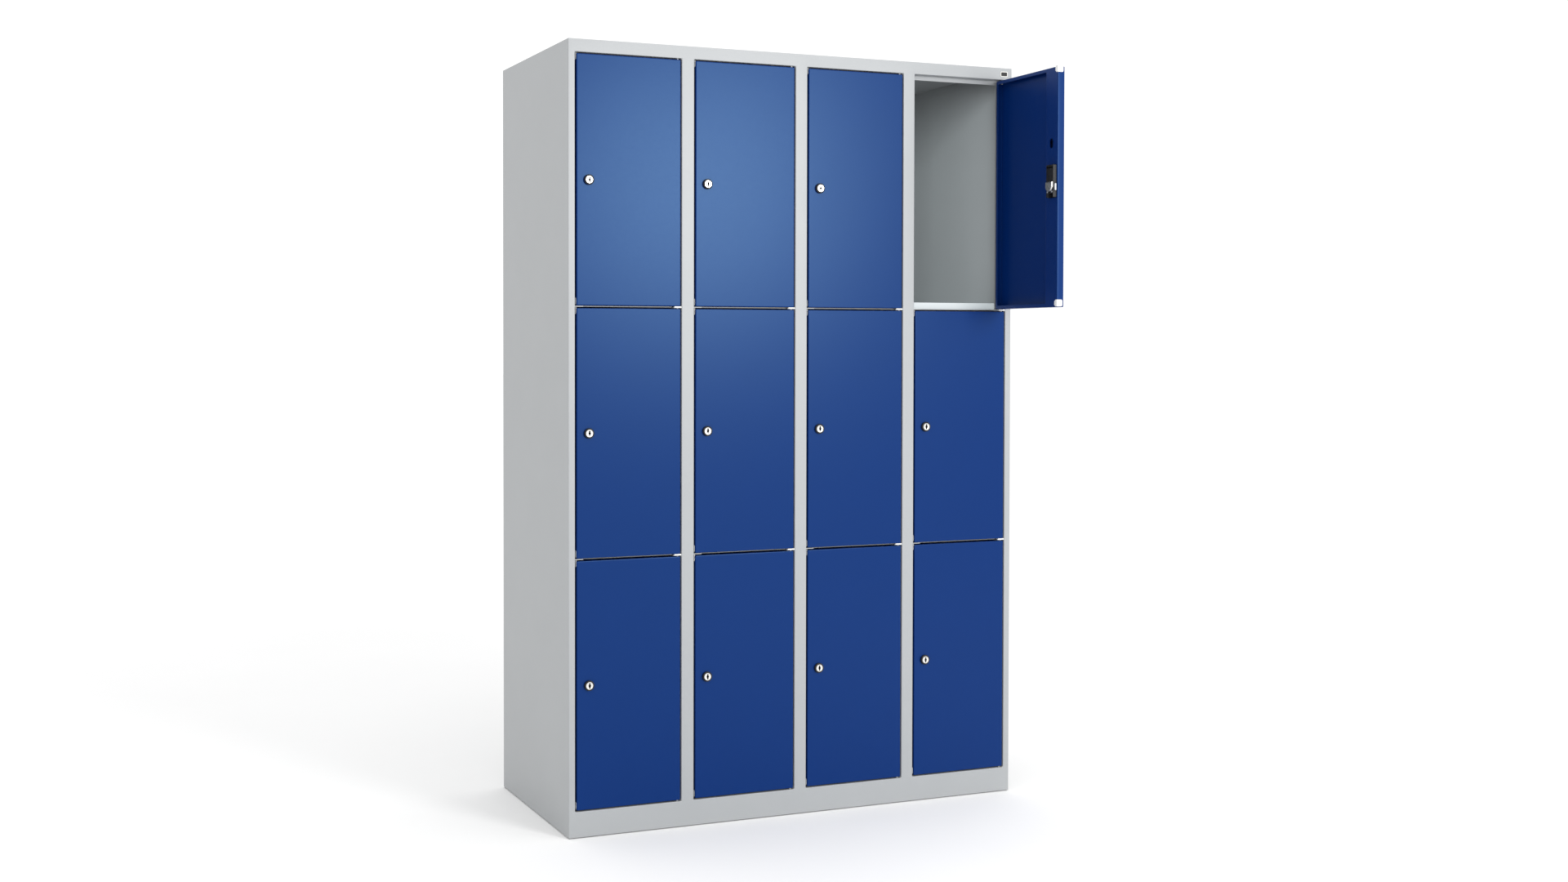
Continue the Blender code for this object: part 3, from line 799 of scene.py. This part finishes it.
def door_surface(door):
    """A pan with rounded bends, its lips turned in and the lock side's lip made a stiffener."""
    bm = box(door.low + Vector((BUFFER_PROUD, 0.0, 0.0)), door.high)
    rear = max(bm.faces, key=lambda face: face.calc_center_median().y)
    bmesh.ops.inset_region(bm, faces=[rear], thickness=DOOR_LIP, use_even_offset=True)
    middle = (door.low.x + door.high.x) / 2
    lock_side = [vert for vert in rear.verts if vert.co.x < middle]
    for vert in lock_side:
        vert.co.x = door.low.x + STIFFENER_WIDTH
    stiffener_edge = [edge for edge in rear.edges if set(edge.verts) == set(lock_side)]
    bmesh.ops.delete(bm, geom=[rear], context="FACES_ONLY")
    made = bmesh.ops.extrude_edge_only(bm, edges=stiffener_edge)
    verts = [item for item in made["geom"] if isinstance(item, bmesh.types.BMVert)]
    flange_depth = door.high.y - door.low.y - SHEET - STIFFENER_GAP
    bmesh.ops.translate(bm, vec=(0.0, -flange_depth, 0.0), verts=verts)
    look_front(bm)
    return round_edges(bm, BEND_RADIUS, BEND_STEPS)


def door_cuts(door):
    thickness = door.high.y - door.low.y
    rear = (thickness - 3 * SHEET, thickness + SHEET)
    half = HOLE_STRETCH / 2
    slot_width = (HOLE_FROM_EDGE - HOLE_RADIUS, HOLE_FROM_EDGE + HOLE_RADIUS)
    window_width = (CASE_LEFT - BOLT_PLAY, CASE_RIGHT + BOLT_PLAY)
    window_height = (CASE_BOTTOM - BOLT_PLAY, CASE_TOP + BOLT_PLAY)
    cuts = [
        door.lock_rod(BARREL_RADIUS + PLUG_PLAY, PLUG_FROM_EDGE, (-SHEET, 3 * SHEET)),
        door.lock_box(window_width, rear, window_height),
        door.lock_box(slot_width, rear, (HOLE_RISE - half, HOLE_RISE + half)),
        door.lock_rod(HOLE_RADIUS, HOLE_FROM_EDGE, rear, HOLE_RISE - half),
        door.lock_rod(HOLE_RADIUS, HOLE_FROM_EDGE, rear, HOLE_RISE + half),
        rod(PIN_HOLE, (0.0, 0.0, -SHEET), (0.0, 0.0, 2 * SHEET)),
        rod(PIN_HOLE, (0.0, 0.0, door.high.z - 2 * SHEET), (0.0, 0.0, door.high.z + SHEET)),
    ]
    return cuts


# Lock


def lock_bezel(door):
    """The black ring on the door's face and its barrel through the skin."""
    inner = PLUG_RADIUS + PLUG_PLAY
    profile = [(inner + out, BEZEL_FRONT + back) for out, back in BEZEL_INNER_EDGE]
    profile += [(BEZEL_RADIUS - step, BEZEL_FRONT + back) for step, back in BEZEL_OUTER_EDGE]
    profile += [
        (BEZEL_RADIUS, -BOLT_PLAY),
        (BARREL_RADIUS, -BOLT_PLAY),
        (BARREL_RADIUS, CASE_REAR / 2),
        (inner, CASE_REAR / 2),
    ]
    return turned(profile, door.lock_point(PLUG_FROM_EDGE, 0.0, 0.0), (0.0, 1.0, 0.0), closed=True)


def lock_housing(door):
    """The moulded case behind the door, with its feet beside the notch."""
    thickness = door.high.y - door.low.y
    left, right = CASE_LEFT, CASE_RIGHT
    low, high = CASE_BOTTOM, CASE_TOP
    notch_top = low + NOTCH_HEIGHT
    outline = [
        (left, low),
        (NOTCH_LEFT, low),
        (NOTCH_LEFT, notch_top),
        (NOTCH_RIGHT, notch_top),
        (NOTCH_RIGHT, low),
        (right, low),
        (right, high),
        (left, high),
    ]
    front = thickness - 2 * SHEET
    points = [door.lock_point(across, front, rise) for across, rise in outline]
    return round_edges(prism(points, (0.0, CASE_REAR - front, 0.0)), CASE_ROUNDING, 3)


def housing_cuts(door):
    middle = (CASE_LEFT + CASE_RIGHT) / 2
    slot_width = (middle - COIN_SLOT_WIDTH / 2, middle + COIN_SLOT_WIDTH / 2)
    slot_height = (COIN_SLOT_RISE, COIN_SLOT_RISE + COIN_SLOT_HEIGHT)
    rim_width = (slot_width[0] - COIN_RIM / 4, slot_width[1] + COIN_RIM / 4)
    rim_height = (slot_height[0] - COIN_RIM, slot_height[1] + COIN_RIM)
    bolt_back = (BOLT_FRONT - BOLT_PLAY, BOLT_FRONT + BOLT_THICKNESS + BOLT_PLAY)
    bolt_height = (-BOLT_HEIGHT / 2 - BOLT_PLAY, BOLT_HEIGHT / 2 + BOLT_PLAY)
    cover_width = (CASE_LEFT + COVER_MARGIN, CASE_RIGHT - COVER_MARGIN)
    cover_height = (COVER_BOTTOM, COIN_SLOT_RISE - COVER_MARGIN)
    return [
        door.lock_box(slot_width, (CASE_REAR - COIN_SLOT_DEPTH, CASE_REAR + SHEET), slot_height),
        door.lock_box(rim_width, (CASE_REAR - COVER_DEPTH, CASE_REAR + SHEET), rim_height),
        door.lock_box((-SHEET, BOLT_LENGTH + SHEET), bolt_back, bolt_height),
        door.lock_box(cover_width, (CASE_REAR - COVER_DEPTH, CASE_REAR + SHEET), cover_height),
    ]


def cup_outline(door, radius, back, top):
    """A half round below and straight sides above, at one depth."""
    middle = (CASE_LEFT + CASE_RIGHT) / 2
    steps = ROUND_SIDES // 2
    points = []
    for step in range(steps + 1):
        angle = math.pi + math.pi * step / steps
        across = middle + radius * math.cos(angle)
        points.append(door.lock_point(across, back, CUP_RISE + radius * math.sin(angle)))
    points.append(door.lock_point(middle + radius, back, top))
    points.append(door.lock_point(middle - radius, back, top))
    return points


def coin_cup(door):
    """The bright metal cup on the case, open at the top, where the coin comes back."""
    depth = CUP_REAR - CASE_REAR + SHEET / 2
    start = CASE_REAR - SHEET / 2
    outer = prism(cup_outline(door, CUP_RADIUS, start, CUP_TOP), (0.0, depth, 0.0))
    rear_edges = [edge for edge in outer.edges if is_at_depth(edge, door.low.y + CUP_REAR)]
    round_edges(outer, CUP_ROUNDING, 4, rear_edges)
    inner_depth = depth - 2 * CUP_WALL
    inner_start = start + CUP_WALL
    inner_outline = cup_outline(door, CUP_RADIUS - CUP_WALL, inner_start, CUP_TOP + SHEET)
    inner = prism(inner_outline, (0.0, inner_depth, 0.0))
    return outer, inner


def is_at_depth(edge, depth):
    return all(abs(vert.co.y - depth) < SAME_PLACE for vert in edge.verts)


def case_screws(door):
    """Two pan head screws with a slot, on the case beside the cover."""
    shapes = []
    slots = []
    for across in (CASE_LEFT + 2.1 * SCREW_RADIUS, CASE_RIGHT - 2.1 * SCREW_RADIUS):
        rise = CASE_BOTTOM + NOTCH_HEIGHT + 1.35 * SCREW_RADIUS
        centre = door.lock_point(across, CASE_REAR, rise)
        profile = [(SCREW_RADIUS * radius, SCREW_HEIGHT * height) for radius, height in SCREW_HEAD]
        profile += [(SCREW_RADIUS, -SHEET / 2), (0.0, -SHEET / 2)]
        shapes.append(turned(profile, centre, (0.0, 1.0, 0.0), sides=PIN_SIDES))
        half = SCREW_SLOT / 2
        low = centre + Vector((-SCREW_RADIUS * 1.2, SCREW_HEIGHT * 0.4, -half))
        high = centre + Vector((SCREW_RADIUS * 1.2, SCREW_HEIGHT * 1.5, half))
        slots.append(box(low, high))
    return shapes, slots


def plug_mesh(door):
    """The turned key plug with a chamfered face and its key hole, whose walls carry painted shade.
    """
    profile = [(PLUG_RADIUS * share, PLUG_FRONT + back) for share, back in PLUG_DISH]
    profile += [(PLUG_RADIUS - step, PLUG_FRONT + back) for step, back in PLUG_EDGE]
    profile += [(PLUG_RADIUS, PLUG_REAR), (0.0, PLUG_REAR)]
    centre = door.lock_point(PLUG_FROM_EDGE, 0.0, 0.0)
    reach = (PLUG_FRONT - SHEET, PLUG_FRONT + KEYHOLE_DEPTH)
    across = (PLUG_FROM_EDGE - KEYHOLE_WIDTH / 2, PLUG_FROM_EDGE + KEYHOLE_WIDTH / 2)
    cuts = [
        door.lock_box(across, reach, (-KEYHOLE_HEIGHT / 2, KEYHOLE_HEIGHT / 2)),
        door.lock_rod(KEYHOLE_RADIUS, PLUG_FROM_EDGE, reach),
    ]
    mesh = solid_mesh("key_plug_turned", turned(profile, centre, (0.0, 1.0, 0.0)), cuts=cuts)
    mesh.transform(Matrix.Translation(-centre))
    # The key hole's walls take the black plastic as painted shade; the real hole is the plug's own
    # metal.
    for face in mesh.polygons:
        face.material_index = int(in_painted_shade_keyhole(face.center))
    return mesh, centre


def in_painted_shade_keyhole(point):
    """Whether a point of the plug is on a wall of its key hole, about the plug's own origin. These
    walls are painted black as painted shade; the real hole is bare plug metal, dark only in shade.
    """
    deep = PLUG_FRONT + KEYHOLE_DEPTH / 20 < point.y < PLUG_REAR - SHEET
    return deep and math.hypot(point.x, point.z) < KEYHOLE_HEIGHT / 2 + WELD


# White corner buffers


def corner_buffer(door, low, high):
    """A plastic angle on the rear corner of the lock edge, its free corners cut off. It ends at
    the door's stated edge, a little beyond the visible sheet."""
    rear = door.high.y
    edge = door.low.x + BUFFER_WALL
    cut = BUFFER_CHAMFER
    outer = rear + BUFFER_WALL
    reach = door.low.x + BUFFER_REAR_WIDTH
    fore = rear - BUFFER_EDGE_DEPTH
    rear_outline = [
        (edge - BUFFER_WALL, rear, low),
        (reach - cut, rear, low),
        (reach, rear, low + cut),
        (reach, rear, high - cut),
        (reach - cut, rear, high),
        (edge - BUFFER_WALL, rear, high),
    ]
    edge_outline = [
        (edge, outer, low),
        (edge, fore + cut / 2, low),
        (edge, fore, low + cut / 2),
        (edge, fore, high - cut / 2),
        (edge, fore + cut / 2, high),
        (edge, outer, high),
    ]
    rear_wing = prism([Vector(point) for point in rear_outline], (0.0, BUFFER_WALL, 0.0))
    edge_wing = prism([Vector(point) for point in edge_outline], (-BUFFER_WALL, 0.0, 0.0))
    draft = helper_object(rear_wing)
    combine(draft, [edge_wing], "UNION")
    bm = bmesh.new()
    bm.from_mesh(draft.data)
    bpy.data.objects.remove(draft, do_unlink=True)
    bmesh.ops.dissolve_limit(bm, angle_limit=math.radians(1), verts=bm.verts, edges=bm.edges)
    return round_edges(bm, BUFFER_ROUNDING, 2)


def buffers_mesh(door):
    top = door.high.z + BUFFER_ABOVE
    bottom = BUFFER_INSIDE
    shapes = [
        corner_buffer(door, bottom, bottom + BUFFER_HEIGHT),
        corner_buffer(door, top - BUFFER_HEIGHT, top),
    ]
    return finished_mesh(helper_object(merged(shapes)), "corner_buffers")


def add_doors(frame, materials):
    door = Door(frame)
    door_mesh = solid_mesh("door_formed", door_surface(door), cuts=door_cuts(door), sheet=True)
    housing = solid_mesh("lock_housing", lock_housing(door), cuts=housing_cuts(door))
    bezel = finished_mesh(helper_object(lock_bezel(door)), "lock_bezel")
    cup_outer, cup_inner = coin_cup(door)
    cup = solid_mesh("coin_cup", cup_outer, cuts=[cup_inner])
    screws, slots = case_screws(door)
    screw_mesh = solid_mesh("case_screws", merged(screws), cuts=slots)
    plug, plug_centre = plug_mesh(door)
    plug.materials.append(materials[NICKEL_SLOT])
    # The second slot is black, for the painted shade on the key hole's walls.
    plug.materials.append(materials[BLACK_SLOT])
    buffers = buffers_mesh(door)
    for label in door_labels(frame):
        place = door_matrix(frame, label)
        body = f"door_{label}"
        add_piece(f"door_formed_{label}", door_mesh, body, BLUE_SLOT, materials, body, place)
        case = f"coin_lock_case_{label}"
        add_piece(f"lock_housing_{label}", housing, body, BLACK_SLOT, materials, case, place)
        add_piece(f"lock_bezel_{label}", bezel, body, BLACK_SLOT, materials, case, place)
        add_piece(f"coin_cup_{label}", cup, body, NICKEL_SLOT, materials, None, place)
        add_piece(f"case_screws_{label}", screw_mesh, body, ZINC_SLOT, materials, None, place)
        add_piece(f"corner_buffers_{label}", buffers, body, WHITE_SLOT, materials, None, place)
        key_plug = f"key_plug_{label}"
        plug_place = place @ Matrix.Translation(plug_centre)
        name = f"key_plug_turned_{label}"
        add_piece(name, plug, key_plug, NICKEL_SLOT, materials, key_plug, plug_place)


# Small pieces of the cabinet


def add_blank_plate(materials):
    """A plain oblong plate at the right of the top rail, light rimmed with an empty dark field."""
    low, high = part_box("front_frame")
    centre = Vector((high.x - PLATE_FROM_RIGHT, low.y, high.z - PLATE_FROM_TOP))
    field_width = PLATE_WIDTH - 2 * PLATE_RIM
    field_height = PLATE_HEIGHT - 2 * PLATE_RIM
    rim_cut = rounded_plate(centre, field_width, field_height, 2 * PLATE_THICKNESS)
    rim_solid = rounded_plate(centre, PLATE_WIDTH, PLATE_HEIGHT, PLATE_THICKNESS)
    rim = solid_mesh("plate_rim", rim_solid, cuts=[rim_cut])
    field = rounded_plate(centre, field_width + WELD, field_height + WELD, PLATE_THICKNESS / 2)
    field_mesh = finished_mesh(helper_object(field), "plate_field")
    add_piece("plate_rim", rim, "carcass", NICKEL_SLOT, materials)
    add_piece("plate_field", field_mesh, "carcass", BLACK_SLOT, materials)


def rounded_plate(centre, width, height, thickness):
    """A flat oblong with rounded corners that stands this far in front of the rail."""
    half = Vector((width / 2, 0.0, height / 2))
    plate = box(
        centre + Vector((-half.x, -thickness, -half.z)),
        centre + Vector((half.x, WELD, half.z)),
    )
    along = [edge for edge in plate.edges if abs(edge.verts[0].co.y - edge.verts[1].co.y) > WELD]
    return round_edges(plate, height * PLATE_ROUNDING, 5, along)


def add_foot_pads(frame, materials):
    """Rubber pads with a ribbed rim under the levelling feet."""
    shapes = []
    for mount in frame["record"]["mounts"]:
        if not mount["name"].startswith("foot_"):
            continue
        rim = [(PAD_RADIUS * radius, PAD_HEIGHT * height) for radius, height in PAD_RIM]
        hollow = [
            (PAD_INNER_RADIUS, PAD_HEIGHT),
            (PAD_INNER_RADIUS, PAD_HEIGHT - SHEET),
            (PAD_INNER_RADIUS * PAD_HOLLOW, 0.0),
        ]
        shapes.append(turned(rim + hollow, mount["pos_m"], (0.0, 0.0, 1.0), closed=True))
    mesh = finished_mesh(helper_object(merged(shapes)), "foot_pads")
    mesh.materials.append(rubber())
    add_piece("foot_pads", mesh, "carcass", BLACK_SLOT, materials)


def finish_cad_nodes(frame, materials):
    """Gives each CAD node that stays its material and slightly rounded edges."""
    groups = {item["node"]: item["material_slot"] for item in frame["record"]["subparts"]}
    for name, obj in frame["nodes"].items():
        obj.data.materials.clear()
        obj.data.materials.append(materials[groups[name]])
        weld = obj.modifiers.new("weld", "WELD")
        weld.merge_threshold = CAD_MERGE
        edge = obj.modifiers.new("edge", "BEVEL")
        edge.width = EDGE_BREAK
        edge.segments = 2
        edge.limit_method = "ANGLE"
        edge.angle_limit = SMOOTH_ANGLE
        even_shading(obj)


# Studio


def floor_material():
    material, tree, shader = new_material("studio_floor")
    colour_between(tree, shader, noise(tree, scale=0.8, detail=3.0), *FLOOR_COLOURS)
    roughness_between(tree, shader, noise(tree, scale=30.0, detail=2.0), *FLOOR_ROUGHNESS)
    shader.inputs["Specular IOR Level"].default_value = FLOOR_SPECULAR
    return material


def add_floor():
    bm = bmesh.new()
    bmesh.ops.create_grid(bm, x_segments=1, y_segments=1, size=FLOOR_HALF)
    mesh = bpy.data.meshes.new("studio_floor")
    bm.to_mesh(mesh)
    bm.free()
    mesh.materials.append(floor_material())
    floor = bpy.data.objects.new("studio_floor", mesh)
    bpy.context.scene.collection.objects.link(floor)


def add_area_light(name, location, target, size, radiance):
    """A square soft box of the given radiance, aimed at the target."""
    light = bpy.data.lights.new(name, "AREA")
    light.shape = "SQUARE"
    light.size = size
    light.energy = radiance * math.pi * size * size
    lamp = bpy.data.objects.new(name, light)
    bpy.context.scene.collection.objects.link(lamp)
    lamp.location = location
    aim = Vector(target) - Vector(location)
    lamp.rotation_euler = aim.to_track_quat("-Z", "Y").to_euler()
    return lamp


def add_sky():
    world = bpy.data.worlds.new("studio")
    bpy.context.scene.world = world
    world.use_nodes = True
    background = world.node_tree.nodes["Background"]
    background.inputs["Color"].default_value = (1.0, 1.0, 1.0, 1.0)
    background.inputs["Strength"].default_value = SKY_STRENGTH


def add_camera():
    camera = bpy.data.cameras.new("camera")
    camera.lens = CAMERA_LENS
    camera.shift_x, camera.shift_y = CAMERA_SHIFT
    obj = bpy.data.objects.new("camera", camera)
    bpy.context.scene.collection.objects.link(obj)
    obj.location = CAMERA_LOCATION
    obj.rotation_euler = (CAMERA_PITCH, 0.0, CAMERA_YAW)
    bpy.context.scene.camera = obj


def lit_inside(frame):
    """The panels that show through the open door."""
    return [frame["nodes"][name] for name in INNER_PANELS]


def light_only(lamp, objects):
    """Keeps a fill light off everything but these objects; all others still shade them."""
    lit = bpy.data.collections.new(f"{lamp.name}_lit")
    for obj in objects:
        lit.objects.link(obj)
    lamp.light_linking.receiver_collection = lit


def add_studio(frame):
    add_floor()
    add_sky()
    add_area_light("soft_box_front", **FRONT_BOX)
    fill = add_area_light("soft_box_fill", **FILL_BOX)
    fill.data.color = FILL_COLOUR
    light_only(fill, lit_inside(frame))
    add_camera()
    bpy.context.scene.view_settings.view_transform = "Standard"


for startup_object in list(bpy.data.objects):
    bpy.data.objects.remove(startup_object, do_unlink=True)
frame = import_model()
materials = make_materials()
finish_cad_nodes(frame, materials)
add_front_frame(frame, materials)
add_bushes(frame, materials)
add_doors(frame, materials)
add_blank_plate(materials)
add_foot_pads(frame, materials)
add_studio(frame)
